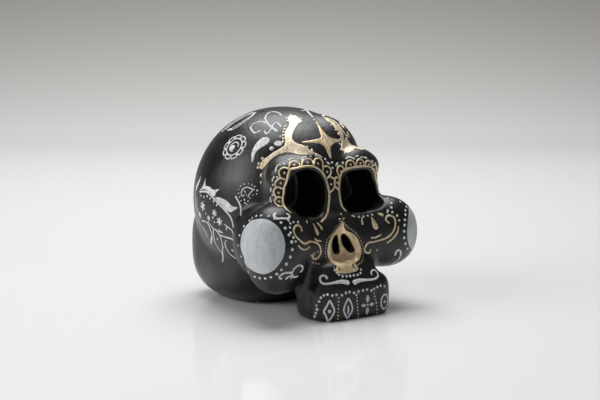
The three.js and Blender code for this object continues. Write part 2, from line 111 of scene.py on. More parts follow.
def join(pieces, name):
    bpy.ops.object.select_all(action="DESELECT")
    for piece in pieces:
        piece.select_set(True)
    bpy.context.view_layer.objects.active = pieces[0]
    bpy.ops.object.join()
    joined = bpy.context.object
    joined.name = name
    joined.data.name = name
    return joined


def finish_with(piece, kind, **settings):
    """Adds one modifier and applies it."""
    bpy.context.view_layer.objects.active = piece
    modifier = piece.modifiers.new(kind, kind)
    for setting, value in settings.items():
        setattr(modifier, setting, value)
    bpy.ops.object.modifier_apply(modifier=modifier.name)


bpy.ops.object.select_all(action="DESELECT")
lumps = []
for name, (x, y, z), half_sizes, square, turn, both in CLAY_LUMPS:
    for side in (1, -1) if both else (1,):
        lumps.append(lump_of_clay((x * side, y, z), half_sizes, square, turn * side))
skull = join(lumps, "painted_clay_skull")
finish_with(skull, "REMESH", mode="VOXEL", voxel_size=COARSE_GRAIN * MM)
finish_with(skull, "SMOOTH", factor=0.5, iterations=18)

# ---------------------------------------------------------------- sockets and nose
# The eye sockets are cut in while the clay is leather hard and end blind, so they read
# as black holes. The nose is a shallow dish with two narrow slots in it.
EYE_RIGHT = [(-4.2, 56), (-8, 59.5), (-14, 60.4), (-19.4, 58.6), (-21.7, 54), (-22.5, 47),
             (-19.8, 42.4), (-14, 40.6), (-8, 40.9), (-4.6, 43.8), (-3.6, 50)]
EYE_LEFT = [(3.2, 54), (6, 57.3), (12, 58.6), (17.8, 58), (20.8, 55), (22.3, 51.4),
            (24, 47.4), (23, 44), (18.6, 41.5), (11, 40.6), (6, 41.4), (3.3, 44.6),
            (2.5, 49.5)]
NOSE_SLOTS = [
    [(-0.9, 33.4), (-2.6, 33.2), (-3.7, 30.4), (-3.2, 27), (-1.4, 26), (0.4, 26.4),
     (0.3, 29), (-0.3, 31.8)],
    [(1, 33.5), (2.4, 33.6), (4, 32), (5.1, 29.4), (5.4, 27), (4.4, 26.2), (3, 27.6),
     (1.6, 30.6)],
]
SOCKET_BACK = -12
SLOT_BACK = -25
DISH_HALF_SIZES = (6.2, 3.9, 8.8)
DISH_MIDDLE = (-0.3, -36.5, 29.6)


def path(points, closed=False, step=0.45):
    """Points a step apart on the smooth curve through a few drawn ones (mm)."""
    knots = [Vector(point) for point in points]
    count = len(knots)
    spans = count if closed else count - 1
    found = []
    for i in range(spans):
        if closed:
            before, start, end, after = (knots[(i + k) % count] for k in (-1, 0, 1, 2))
        else:
            start, end = knots[i], knots[i + 1]
            before = knots[i - 1] if i else start * 2 - end
            after = knots[i + 2] if i + 2 < count else end * 2 - start
        stops = max(1, round((end - start).length / step))
        for k in range(stops):
            t = k / stops
            found.append(0.5 * (2 * start + (end - before) * t
                                + (2 * before - 5 * start + 4 * end - after) * t ** 2
                                + (3 * start - before - 3 * end + after) * t ** 3))
    if not closed:
        found.append(knots[-1])
    return found


def cut_away(piece, cutter):
    finish_with(piece, "BOOLEAN", operation="DIFFERENCE", object=cutter, solver="MANIFOLD")
    bpy.data.objects.remove(cutter)


def punch(outline, back, taper=1.0, front=-60):
    """A punch with that outline, seen from the front, from in front of the face to back."""
    ring = path(outline, closed=True, step=0.8)
    middle = sum(ring, Vector((0, 0))) / len(ring)
    bpy.ops.mesh.primitive_circle_add(vertices=len(ring), radius=1, fill_type="NGON")
    tool = bpy.context.object
    for vertex, (x, z) in zip(tool.data.vertices, ring):
        vertex.co = Vector((x, front, z)) * MM
    bpy.ops.object.mode_set(mode="EDIT")
    bpy.ops.mesh.extrude_region_move(TRANSFORM_OT_translate={"value": (0, (back - front) * MM, 0)})
    bpy.ops.object.mode_set(mode="OBJECT")
    for vertex in tool.data.vertices:
        if vertex.co.y > (back - 0.1) * MM:
            vertex.co.x = (middle.x + (vertex.co.x / MM - middle.x) * taper) * MM
            vertex.co.z = (middle.y + (vertex.co.z / MM - middle.y) * taper) * MM
    bpy.ops.object.mode_set(mode="EDIT")
    bpy.ops.mesh.select_all(action="SELECT")
    bpy.ops.mesh.normals_make_consistent(inside=False)
    bpy.ops.object.mode_set(mode="OBJECT")
    return tool


for eye in (EYE_RIGHT, EYE_LEFT):
    cut_away(skull, punch(eye, SOCKET_BACK, taper=0.86))
bpy.ops.mesh.primitive_uv_sphere_add(segments=32, ring_count=16, radius=1)
dish = bpy.context.object
dish.scale = Vector(DISH_HALF_SIZES) * MM
dish.location = Vector(DISH_MIDDLE) * MM
bpy.ops.object.transform_apply()
cut_away(skull, dish)
for slot in NOSE_SLOTS:
    cut_away(skull, punch(slot, SLOT_BACK, taper=0.8))

# ---------------------------------------------------------------- teeth
# Three soft grooves, pulled down the front of the block with a tool, part four teeth. A
# thumb has left a shallow dent in either side of the block.
GROOVES = [-8.5, 0.9, 10.1]
GROOVE_TOP = 15
GROOVE_DEPTH = 0.7
NOTCH = 1.9
DENT_HALF_SIZES = (3.2, 3.6, 5.4)
THUMB_DENTS = [(-18.9, -36, 8.5), (22.4, -37, 9)]
FLOOR_BLOCK = 0.2

for x in GROOVES:
    bpy.ops.mesh.primitive_cylinder_add(vertices=16, radius=1 * MM, depth=GROOVE_TOP * MM)
    tool = bpy.context.object
    tool.scale = (0.8, GROOVE_DEPTH, 1)
    tool.location = Vector((x, -44.0, GROOVE_TOP / 2 - 3)) * MM
    bpy.ops.object.transform_apply()
    cut_away(skull, tool)
    bpy.ops.mesh.primitive_cone_add(vertices=4, radius1=NOTCH * MM, radius2=0, depth=NOTCH * MM)
    tool = bpy.context.object
    tool.scale = (1, 5, 1)
    tool.location = Vector((x, -42.0, 0.9)) * MM
    bpy.ops.object.transform_apply()
    cut_away(skull, tool)
for dent in THUMB_DENTS:
    bpy.ops.mesh.primitive_uv_sphere_add(segments=24, ring_count=12, radius=1)
    thumb = bpy.context.object
    thumb.scale = Vector(DENT_HALF_SIZES) * MM
    thumb.location = Vector(dent) * MM
    bpy.ops.object.transform_apply()
    cut_away(skull, thumb)
bpy.ops.mesh.primitive_cube_add(size=FLOOR_BLOCK, location=(0, 0, -FLOOR_BLOCK / 2))
cut_away(skull, bpy.context.object)
finish_with(skull, "REMESH", mode="VOXEL", voxel_size=FINE_GRAIN * MM)
finish_with(skull, "SMOOTH", factor=0.5, iterations=3)
bpy.ops.object.select_all(action="DESELECT")
skull.select_set(True)
bpy.ops.object.shade_smooth()

# ---------------------------------------------------------------- black coat
# Satin black acrylic, brushed on by hand over the whole body. It keeps the grain of the
# clay, and shows faint brush marks and specks of dust where light slides along it.
DENTS_PER_METRE = 75
DENT_DEPTH = 1.1
SPECKS_PER_METRE = 5200


def new_socket(group, name, kind, outward, value=None):
    where = "OUTPUT" if outward else "INPUT"
    socket = group.interface.new_socket(name=name, in_out=where, socket_type=kind)
    if value is not None:
        socket.default_value = value


def node(tree, kind, **settings):
    made = tree.nodes.new(kind)
    for setting, value in settings.items():
        setattr(made, setting, value)
    return made


def noise(tree, at, scale, detail=2.0, roughness=0.5, distortion=0.0):
    made = node(tree, "ShaderNodeTexNoise")
    made.inputs["Scale"].default_value = scale
    made.inputs["Detail"].default_value = detail
    made.inputs["Roughness"].default_value = roughness
    made.inputs["Distortion"].default_value = distortion
    tree.links.new(at, made.inputs["Vector"])
    return made.outputs["Fac"]


def spread(tree, value, low, high, to_low=0.0, to_high=1.0):
    """Stretches the part of a value between low and high."""
    made = node(tree, "ShaderNodeMapRange", clamp=True)
    tree.links.new(value, made.inputs["Value"])
    for name, number in zip(("From Min", "From Max", "To Min", "To Max"),
                            (low, high, to_low, to_high)):
        made.inputs[name].default_value = number
    return made.outputs["Result"]


def mixed(tree, share, one, other):
    """A colour between two, by share. Each is a colour or a socket."""
    made = node(tree, "ShaderNodeMix", data_type="RGBA")
    tree.links.new(share, made.inputs["Factor"])
    for name, colour in (("A", one), ("B", other)):
        socket = next(s for s in made.inputs if s.name == name and s.type == "RGBA")
        if isinstance(colour, bpy.types.NodeSocket):
            tree.links.new(colour, socket)
        else:
            socket.default_value = (*colour, 1)
    return next(s for s in made.outputs if s.type == "RGBA")


def brushwork():
    """Node group: how thick the paint lies, its fine grain, and both as one height."""
    group = bpy.data.node_groups.new("hand_brushwork", "ShaderNodeTree")
    new_socket(group, "Streak Scale", "NodeSocketFloat", False, 220.0)
    new_socket(group, "Grain Scale", "NodeSocketFloat", False, 2200.0)
    new_socket(group, "Thickness", "NodeSocketFloat", True)
    new_socket(group, "Grain", "NodeSocketFloat", True)
    new_socket(group, "Height", "NodeSocketFloat", True)
    given = node(group, "NodeGroupInput")
    out = node(group, "NodeGroupOutput")
    where = node(group, "ShaderNodeTexCoord").outputs["Object"]
    stretched = node(group, "ShaderNodeMapping")
    stretched.inputs["Scale"].default_value = (1.0, 0.7, 0.32)
    stretched.inputs["Rotation"].default_value = (0.4, 0.5, 0.3)
    group.links.new(where, stretched.inputs["Vector"])
    streak = node(group, "ShaderNodeTexNoise")
    streak.inputs["Detail"].default_value = 5
    streak.inputs["Roughness"].default_value = 0.6
    streak.inputs["Distortion"].default_value = 0.6
    group.links.new(stretched.outputs["Vector"], streak.inputs["Vector"])
    group.links.new(given.outputs["Streak Scale"], streak.inputs["Scale"])
    grain = node(group, "ShaderNodeTexNoise")
    grain.inputs["Detail"].default_value = 3
    grain.inputs["Roughness"].default_value = 0.65
    group.links.new(where, grain.inputs["Vector"])
    group.links.new(given.outputs["Grain Scale"], grain.inputs["Scale"])
    thick = spread(group, streak.outputs["Fac"], 0.32, 0.68)
    fine = spread(group, grain.outputs["Fac"], 0.3, 0.7)
    height = node(group, "ShaderNodeMath", operation="MULTIPLY_ADD")
    group.links.new(fine, height.inputs[0])
    height.inputs[1].default_value = 0.45
    group.links.new(thick, height.inputs[2])
    group.links.new(thick, out.inputs["Thickness"])
    group.links.new(fine, out.inputs["Grain"])
    group.links.new(height.outputs["Value"], out.inputs["Height"])
    return group


BRUSHWORK = brushwork()


def coat(name, streak_scale, grain_scale, roughness, relief, relief_height, **shader):
    """A material with brushwork in it. Returns the material, its shader and its masks."""
    made = bpy.data.materials.new(name)
    made.use_nodes = True
    tree = made.node_tree
    surface = tree.nodes["Principled BSDF"]
    for socket, value in shader.items():
        surface.inputs[socket.replace("_", " ")].default_value = value
    brush = node(tree, "ShaderNodeGroup", node_tree=BRUSHWORK)
    brush.inputs["Streak Scale"].default_value = streak_scale
    brush.inputs["Grain Scale"].default_value = grain_scale
    bump = node(tree, "ShaderNodeBump")
    bump.inputs["Strength"].default_value = relief
    bump.inputs["Distance"].default_value = relief_height * MM
    tree.links.new(brush.outputs["Height"], bump.inputs["Height"])
    tree.links.new(bump.outputs["Normal"], surface.inputs["Normal"])
    rough = spread(tree, brush.outputs["Thickness"], 0, 1, *roughness)
    tree.links.new(rough, surface.inputs["Roughness"])
    return made, tree, surface, brush


def black_acrylic():
    made, tree, surface, brush = coat(
        "satin_black_acrylic", streak_scale=260, grain_scale=2600, roughness=(0.25, 0.38),
        relief=0.55, relief_height=0.12)
    where = node(tree, "ShaderNodeTexCoord").outputs["Object"]
    dents = node(tree, "ShaderNodeBump")
    dents.inputs["Strength"].default_value = 0.5
    dents.inputs["Distance"].default_value = DENT_DEPTH * MM
    tree.links.new(noise(tree, where, DENTS_PER_METRE, 1.5, 0.4), dents.inputs["Height"])
    brush_marks = surface.inputs["Normal"].links[0].from_node
    tree.links.new(dents.outputs["Normal"], brush_marks.inputs["Normal"])
    brushed = mixed(tree, brush.outputs["Thickness"], (0.0030, 0.0031, 0.0031),
                    (0.0078, 0.0077, 0.0074))
    dust = spread(tree, noise(tree, where, SPECKS_PER_METRE, 2, 0.5), 0.70, 0.78)
    dusty = mixed(tree, dust, brushed, (0.060, 0.060, 0.058))
    tree.links.new(dusty, surface.inputs["Base Color"])
    return made


BLACK = black_acrylic()


def dress(piece, material, *nodes, slot):
    """Gives a finished piece its material and its place in the frame."""
    piece.data.materials.clear()
    piece.data.materials.append(material)
    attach(piece, "root")
    if nodes:
        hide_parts(*nodes)


dress(skull, BLACK, "face_casting", "cranium_casting", "cheek_pad_right", "cheek_pad_left",
      "upper_tooth_block", slot="black_body")

# ---------------------------------------------------------------- white marker
# White acrylic from a fine marker. It dries matt, a little raised and faintly blue, and
# the black grins through wherever the pen was nearly dry.
def white_marker():
    made, tree, surface, brush = coat(
        "white_marker_paint", streak_scale=900, grain_scale=4200, roughness=(0.5, 0.68),
        relief=0.35, relief_height=0.06)
    thin = mixed(tree, brush.outputs["Thickness"], (0.46, 0.48, 0.49), (0.88, 0.90, 0.91))
    grained = mixed(tree, spread(tree, brush.outputs["Grain"], 0, 0.25, 1, 0), thin,
                    (0.30, 0.32, 0.35))
    tree.links.new(grained, surface.inputs["Base Color"])
    return made


WHITE = white_marker()
RAISED = 0.5
skin_of_the_skull = BVHTree.FromObject(skull, bpy.context.evaluated_depsgraph_get())


def facing(turn, rise):
    """The way a drawing faces: turned from straight ahead (minus = its right), and up."""
    a, e = math.radians(turn), math.radians(rise)
    out = Vector((math.sin(a) * math.cos(e), -math.cos(a) * math.cos(e), math.sin(e)))
    across = Vector((math.cos(a), math.sin(a), 0))
    return across, out.cross(across), out


FACE = facing(0, 0)


def laid(u, v, way, depth=30.0):
    """Where a drawn point (mm) lands on the skull, and the way out of the skull there."""
    across, up, out = way
    start = across * u + up * v
    spot, normal, _, _ = skin_of_the_skull.ray_cast((start + out * 120) * MM, -out, 0.14)
    if spot is None:
        spot, normal, _, _ = skin_of_the_skull.find_nearest((start + out * depth) * MM)
    return spot, normal


def from_curve(curve):
    drawn = bpy.data.objects.new(curve.name, curve)
    bpy.context.scene.collection.objects.link(drawn)
    bpy.ops.object.select_all(action="DESELECT")
    drawn.select_set(True)
    bpy.context.view_layer.objects.active = drawn
    bpy.ops.object.convert(target="MESH")
    return bpy.context.object


def pen_lines(lines, width, way, raised):
    """Round strokes. A line is its points, or its points and its own width or widths."""
    curve = bpy.data.curves.new("pen_lines", "CURVE")
    curve.dimensions = "3D"
    curve.bevel_depth = 0.5 * MM
    curve.bevel_resolution = 1
    curve.use_fill_caps = True
    for line in lines:
        points, widths = line if isinstance(line[0], list) else (line, width)
        if not isinstance(widths, tuple):
            widths = (widths, widths)
        run = path(points, step=0.4)
        spline = curve.splines.new("POLY")
        spline.points.add(len(run) - 1)
        for i, (knot, (u, v)) in enumerate(zip(spline.points, run)):
            along = i / (len(run) - 1)
            knot.co = (*laid(u, v, way)[0], 1)
            knot.radius = np.interp(along, np.linspace(0, 1, len(widths)), widths)
        spline.points[0].radius *= 0.6
        spline.points[-1].radius *= 0.6
    strokes = from_curve(curve)
    for vertex in strokes.data.vertices:
        spot, normal, _, _ = skin_of_the_skull.find_nearest(vertex.co)
        height = (vertex.co - spot).dot(normal)
        vertex.co -= normal * height * (1 - raised)
    return strokes


def pen_dots(dots, size, way, raised):
    """Round dots. A dot is where it is, and its own size if it has one."""
    mesh = bpy.data.meshes.new("pen_dots")
    made = bmesh.new()
    for u, v, *own in dots:
        spot, normal = laid(u, v, way)
        radius = (own[0] if own else size) / 2 * MM
        place = Matrix.Translation(spot) @ normal.to_track_quat("Z", "Y").to_matrix().to_4x4()
        bmesh.ops.create_uvsphere(made, u_segments=10, v_segments=5, radius=radius,
                                  matrix=place @ Matrix.Diagonal((1, 1, raised, 1)))
    made.to_mesh(mesh)
    made.free()
    drawn = bpy.data.objects.new("pen_dots", mesh)
    bpy.context.scene.collection.objects.link(drawn)
    return drawn


def filled(outline, *holes, way, raised):
    """A shape filled in with the pen, and any holes left in it."""
    curve = bpy.data.curves.new("filled", "CURVE")
    curve.dimensions = "2D"
    curve.fill_mode = "BOTH"
    curve.extrude = 0.36
    for ring in (outline, *holes):
        run = path(ring, closed=True)
        spline = curve.splines.new("POLY")
        spline.points.add(len(run) - 1)
        for knot, spot in zip(spline.points, run):
            knot.co = (*spot, 0, 1)
        spline.use_cyclic_u = True
    shape = from_curve(curve)
    finish_with(shape, "REMESH", mode="VOXEL", voxel_size=0.3)
    finish_with(shape, "SMOOTH", factor=0.5, iterations=2)
    for vertex in shape.data.vertices:
        spot, normal = laid(vertex.co.x, vertex.co.y, way)
        vertex.co = spot + normal * (vertex.co.z * raised * MM)
    return shape


def painted(name, way, lines=(), dots=(), fills=(), width=0.75, size=0.95, paint=None,
            slot="white_paint", nodes=None, raised=RAISED):
    """One painted figure: strokes, dots and filled shapes, drawn flat, then laid on."""
    parts = [filled(*shape, way=way, raised=raised) for shape in fills]
    if lines:
        parts.append(pen_lines(lines, width, way, raised))
    if dots:
        parts.append(pen_dots(dots, size, way, raised))
    figure = join(parts, name + "_paint")
    bpy.ops.object.select_all(action="DESELECT")
    figure.select_set(True)
    bpy.context.view_layer.objects.active = figure
    bpy.ops.object.shade_smooth()
    dress(figure, paint or WHITE, *((name,) if nodes is None else nodes), slot=slot)
    return figure


def dotted(points, count, closed=False):
    """Places for a row of dots, evenly spaced along a line."""
    run = path(points, closed, step=0.2)
    if closed:
        run.append(run[0])
    lengths = np.cumsum([0] + [(b - a).length for a, b in zip(run, run[1:])])
    stops = np.linspace(0, lengths[-1], count, endpoint=not closed)
    return [tuple(np.interp(stops, lengths, [p[i] for p in run])[k] for i in (0, 1))
            for k in range(count)]


# ---------------------------------------------------------------- cheek discs
# Each domed cheek carries a disc filled in with round strokes from the middle out, and a
# ring of dots about it. The strokes show in the dry paint as faint circles.
DISC_RIGHT = [(10.3, 38.5), (13.7, 37.8), (16.6, 35.8), (18.5, 32.8), (19.3, 29.4),
              (19.1, 25.6), (17.8, 22.2), (15.4, 19.3), (12, 17.8), (8.4, 18.3),
              (4.6, 19.6), (0.8, 21.6), (-1.4, 24.6), (-2, 28), (-1.3, 32.2), (0.8, 35.4),
              (5, 37.6)]
DISC_LEFT = [(-8, 42.2), (-13.8, 42), (-17.8, 39.4), (-19.8, 35.6), (-20.2, 31),
             (-18.8, 27.2), (-15.3, 24.4), (-11, 23), (-6.4, 23.6), (-2.6, 26.2),
             (-0.6, 30.2), (-0.8, 35), (-3.4, 39.4)]
DOTS_RIGHT = [(8.8, 39.6), (6.4, 39.2), (3.6, 38.2), (1.3, 37), (-1, 34.6), (12.2, 39.6),
              (14.6, 38.8), (17, 37.4), (18.6, 35.4, 1.3), (19.9, 32.9, 1.2),
              (20.8, 30.3, 1.5), (21, 27.5, 1.4), (20.6, 24.7, 1.3), (19.6, 22, 1.3),
              (18.1, 19.8, 1.1), (16.6, 18.2, 1.2), (14.4, 16.8, 1.1), (12.2, 16.2, 1.1),
              (9.8, 16.1), (7.6, 16.4), (4, 17.8, 0.9), (0.6, 19.6, 0.9), (-2, 22.8, 0.9),
              (-3.2, 27, 0.9), (-2.8, 31, 0.9)]
DOTS_LEFT = [(-3.4, 40.2, 1.1), (-3.4, 37.9, 1.1), (-5.4, 36.9, 1.2), (-6.7, 35.3, 1.2),
             (-7.8, 33.4, 1.2), (-8.5, 31.4, 1.3), (-8.9, 29, 1.3), (-8.9, 26.4, 1.3),
             (-8.1, 23.9, 1.3), (-6.4, 21.5, 1.2), (-3.8, 19.6), (-1, 18.4), (2.2, 18),
             (5.2, 18.8)]
DISC_STREAKS = 1150


def ring_of(u, v, radius, count, high=None):
    high = high or radius
    turns = [k / count * math.tau for k in range(count)]
    return [(u + math.cos(a) * radius, v + math.sin(a) * high) for a in turns]


def disc_paint(name, way, u, v):
    made, tree, surface, brush = coat(
        name, streak_scale=420, grain_scale=3600, roughness=(0.5, 0.7), relief=0.3,
        relief_height=0.06)
    across, up, out = way
    place = node(tree, "ShaderNodeTexCoord").outputs["Object"]
    middle = node(tree, "ShaderNodeMapping", vector_type="TEXTURE")
    middle.inputs["Location"].default_value = (across * u + up * v) * MM
    turn = Matrix((across, up, out)).transposed().to_euler()
    middle.inputs["Rotation"].default_value = turn
    tree.links.new(place, middle.inputs["Vector"])
    rings = node(tree, "ShaderNodeTexWave", wave_type="RINGS", rings_direction="Z")
    rings.inputs["Scale"].default_value = DISC_STREAKS / math.pi
    rings.inputs["Distortion"].default_value = 14
    rings.inputs["Detail"].default_value = 3
    rings.inputs["Detail Scale"].default_value = 0.5
    tree.links.new(middle.outputs["Vector"], rings.inputs["Vector"])
    swirl = spread(tree, rings.outputs["Fac"], 0.1, 0.9)
    thin = mixed(tree, brush.outputs["Thickness"], (0.36, 0.38, 0.40), (0.54, 0.565, 0.585))
    streaked = mixed(tree, spread(tree, swirl, 0, 1, 0, 0.45), thin, (0.60, 0.63, 0.65))
    bare = spread(tree, noise(tree, place, 260, 4, 0.6), 0.50, 0.78, 0, 0.55)
    tree.links.new(mixed(tree, bare, streaked, (0.30, 0.32, 0.34)),
                   surface.inputs["Base Color"])
    return made


CHEEK_RIGHT, CHEEK_LEFT = facing(-60, 5), facing(60, 0)
painted("cheek_disc_right", CHEEK_RIGHT, fills=[[DISC_RIGHT]], raised=0.3,
        paint=disc_paint("white_disc_right", CHEEK_RIGHT, 9, 28))
painted("cheek_disc_left", CHEEK_LEFT, fills=[[DISC_LEFT]], raised=0.3,
        paint=disc_paint("white_disc_left", CHEEK_LEFT, -10, 32.5))
painted("cheek_dot_ring_right", CHEEK_RIGHT, dots=DOTS_RIGHT, size=1.05)
painted("cheek_dot_ring_left", facing(45, 5), dots=DOTS_LEFT, size=1.05)

# ---------------------------------------------------------------- gold marker
# Champagne gold from a metallic marker: fine flakes in a clear binder, pale where it
# catches the light and brown where it lies thin over the black.
def gold_marker(name, brown, cream, glint, streak_scale, metal=0.62):
    made, tree, surface, brush = coat(
        name, streak_scale=streak_scale, grain_scale=3800, roughness=(0.32, 0.5),
        relief=0.8, relief_height=0.09, Metallic=metal)
    thin = mixed(tree, brush.outputs["Thickness"], brown, cream)
    flake = spread(tree, brush.outputs["Grain"], 0.5, 0.9, 0, 0.75)
    tree.links.new(mixed(tree, flake, thin, glint), surface.inputs["Base Color"])
    return made


GOLD = gold_marker("champagne_gold_marker", (0.44, 0.30, 0.14), (0.92, 0.76, 0.50),
                   (1.0, 0.93, 0.78), 620)
THICK_GOLD = gold_marker("pale_gold_laid_thick", (0.50, 0.37, 0.19), (0.86, 0.78, 0.62),
                         (0.98, 0.93, 0.82), 480)
NOSE_GOLD = gold_marker("yellow_gold_on_the_nose", (0.40, 0.25, 0.08), (1.0, 0.80, 0.50),
                        (1.0, 0.95, 0.80), 420, metal=0.3)
in_gold = {"paint": GOLD, "slot": "gold_paint"}
in_thick_gold = {"paint": THICK_GOLD, "slot": "gold_paint"}

# ---------------------------------------------------------------- eye borders
# A gold line runs round each socket. A row of gold scallops, each with a dot in it,
# stands on the line over the eye, and white dashes and dots follow outside them.
RIM_RIGHT = [(-3.4, 38), (-5.3, 39.8), (-6, 41.6), (-5.7, 44.8), (-5.3, 47.8), (-4.5, 50.4),
             (-3.9, 52.6), (-3, 54.6), (-0.8, 55.2), (3.6, 56), (7.4, 55.5), (10.8, 52.4),
             (12.6, 45.6), (12.2, 39.2), (11.2, 36.6)]
RIM_LEFT = [(4.4, 42.2), (2.7, 44.8), (1.9, 49.5), (2.7, 54.3), (5.6, 57.9), (11.9, 59.3),
            (18.2, 58.8), (21.4, 56), (22.9, 52), (24.3, 49), (24.9, 47)]
SCALLOPS_RIGHT = [
    [(-6.1, 41), (-7.2, 40.5), (-8.5, 41.1), (-9.1, 42.4), (-8.7, 43.6), (-7.6, 44.2),
     (-6.2, 43.8)],
    [(-8.4, 44), (-9.4, 46), (-8.9, 47.4), (-7.7, 48), (-5.8, 47.2)],
    [(-8.4, 47.9), (-8.9, 49.3), (-8.1, 50.6), (-6.7, 51.4), (-5, 50.8)],
    [(-6.9, 51.5), (-7.4, 53.8), (-6.5, 55), (-5, 55.4), (-3.2, 54.7)],
    [(-3.4, 54.8), (-3.2, 56.9), (-2.3, 57.8), (-1, 57.9), (0.5, 57.2), (1.1, 55.6)],
    [(1.4, 56), (2.4, 58.4), (4.4, 58.9), (6, 58.3), (6.7, 56)],
    [(6.7, 56.6), (7.2, 58.6), (8.9, 59.2), (10.3, 57.9), (10.4, 54.2)],
    [(10.8, 55.8), (12.4, 56.1), (13.7, 54.6), (13.3, 52.6), (11.8, 51.2)],
    [(13.2, 51.8), (14.8, 51.2), (15.1, 49.3), (14.4, 47), (12.6, 45.5)],
]
HEARTS_RIGHT = [(-7.4, 42.4), (-7.5, 45.8), (-6.7, 49.5), (-5.3, 53.3), (-1.3, 56.3),
                (4.1, 57.4), (8.5, 57), (12, 53.8), (13.6, 49)]
SCALLOPS_LEFT = [
    [(2.8, 55.2), (1.5, 55.7), (0.5, 54.8), (0.1, 52.6), (2, 50.4)],
    [(3.2, 55.8), (2.4, 57.7), (3.2, 59.4), (5, 59.8), (6.2, 58.4)],
    [(6.8, 58.6), (7.5, 61), (9, 61.8), (10.2, 61.3), (10.9, 59)],
    [(10.9, 59.4), (11.9, 61.4), (13.6, 62.2), (14.7, 61.1), (15.1, 59)],
    [(15.1, 59.4), (16.1, 60.9), (17.8, 61.3), (19.2, 60), (19.2, 58)],
    [(19.6, 59), (21.4, 59.4), (22.6, 58), (22.4, 56), (21.4, 55.4)],
    [(22.4, 56), (24.2, 55.4), (24.8, 53.4), (23, 51.8)],
    [(24, 52), (25.6, 50.8), (25.6, 48.6), (23.6, 47.6)],
]
HEARTS_LEFT = [(1.4, 53.6), (4.2, 57.7), (8.9, 60.2), (13.2, 60.5), (17.4, 59.8),
               (21, 57.6), (23.4, 53.8), (24.4, 49.8)]
DASHES_RIGHT = [
    [(-8.6, 53.8), (-8.3, 55.4), (-7.6, 56.3), (-6.5, 56.8)],
    [(-9.9, 50.2), (-9.6, 51.3), (-9, 52.1)], [(-10.5, 46.2), (-10.3, 47.9)],
    [(-10.3, 42.2), (-10.6, 43.2), (-10.6, 44.3)], [(-3.4, 58.3), (-2.4, 58.9), (-1, 59.2)],
    [(1.6, 58.4), (2.6, 59.4), (4, 59.8)], [(7.3, 60.2), (8.7, 60.4), (10.2, 59.5)],
    [(12, 57.7), (13.4, 56.9)],
]
SPECKS_RIGHT = [(-5.2, 56.9, 1.1), (-8.1, 51.8), (-9.6, 48.9), (-9.8, 44.9), (0.4, 58.9),
                (5.6, 59.9), (11.5, 58.9), (14.3, 57.6, 1.1), (14.4, 55.4)]
DASHES_LEFT = [
    [(2.2, 60), (3.8, 61.1)], [(7.6, 62.4), (9.2, 63), (10.8, 62.5)],
    [(12, 63.1), (13.6, 63.4)], [(15.6, 62.7), (17.4, 62.3)], [(6.2, 40.6), (7.8, 40)],
    [(17.9, 40.6), (19.6, 40.2)],
]
SPECKS_LEFT = [(6, 60.9, 1.2), (11, 62.4), (14.6, 62.7), (19.8, 60.8, 1.1), (21.8, 59.8),
               (23.8, 57.6), (25.1, 45.8, 1.2), (24.8, 44.2, 1.2), (23.7, 42.7, 1.2),
               (21.8, 41.6, 1.1), (9.4, 39.8), (11.6, 39.8), (13.8, 39.9), (15.8, 40.1)]

BESIDE_THE_EYE = facing(-30, 8)
painted("eye_rim_right", BESIDE_THE_EYE, [RIM_RIGHT, [(11.6, 37.3), (10.6, 35.8), (8.8, 34.3)]],
        width=0.95, **in_gold)
painted("eye_rim_left", FACE, [RIM_LEFT], width=0.95, **in_gold)
painted("eye_scallops_right", BESIDE_THE_EYE, SCALLOPS_RIGHT, HEARTS_RIGHT, width=0.78,
        **in_gold)
painted("eye_scallops_left", FACE, SCALLOPS_LEFT, HEARTS_LEFT, width=0.78, **in_gold)
painted("eye_dot_arc_right", BESIDE_THE_EYE, DASHES_RIGHT, SPECKS_RIGHT, width=0.8)
painted("eye_dot_arc_left", FACE, DASHES_LEFT, SPECKS_LEFT, width=0.8)

# ---------------------------------------------------------------- forehead
# Gold again: a star with four drawn-out tips, and on either side a branching crest laid
# on thickly, its edge pecked into small teeth with the tip of the pen.
STAR = [(3, 55.4), (2.3, 52.2), (1.3, 49.2), (0.2, 46.2), (-3.8, 45.5), (-8.5, 45.4),
        (-8.5, 44.6), (-4.5, 44.1), (-1.6, 43.2), (-0.1, 41.6), (0.1, 38.9), (0.5, 36.6),
        (1.2, 36.6), (2.3, 40.1), (3.8, 42.3), (7.4, 43.9), (11.1, 44.6), (11.1, 45.2),
        (6.6, 45.7), (4, 47.2), (3.2, 50.8), (3.4, 55.3)]
CREST_RIGHT = [(-1.8, 63.2), (0.9, 63.9), (3.4, 60.7), (1.6, 58.4), (-0.2, 54.8),
               (-1.2, 52), (-1, 50), (0.5, 48.4), (3, 47.6), (5.3, 45.8), (7.6, 44.6),
               (5.2, 43.3), (1.2, 43), (-2.5, 43.9), (-5.6, 43.6), (-8.4, 42.5),
               (-10.4, 40.9), (-12.6, 38.3), (-14.4, 38.4), (-13.4, 41.4), (-11.1, 43),
               (-9.1, 44.5), (-6.3, 46), (-4.4, 47.8), (-4.2, 50.5), (-4.1, 53.6),
               (-2.8, 56.2), (-1.8, 58.8), (-2.4, 61)]
PECKS_RIGHT = [(-3.4, 57.2, 1.2), (-4, 55.5, 1.2), (-4.5, 54, 1.2), (-4.7, 52.3, 1.2),
               (-4.8, 50.7, 1.2), (-5, 49.2, 1.2), (-2.6, 60.2, 1.3), (-2.8, 62, 1.3),
               (-14.6, 40.4, 1.3), (-15, 38.9, 1.2), (3.2, 62.2, 1.1), (6.3, 45.8, 1.2),
               (4.4, 46.9, 1.2), (8, 43.9, 1.3), (-13.2, 42.4, 1.2), (-0.8, 64.2, 1.2)]
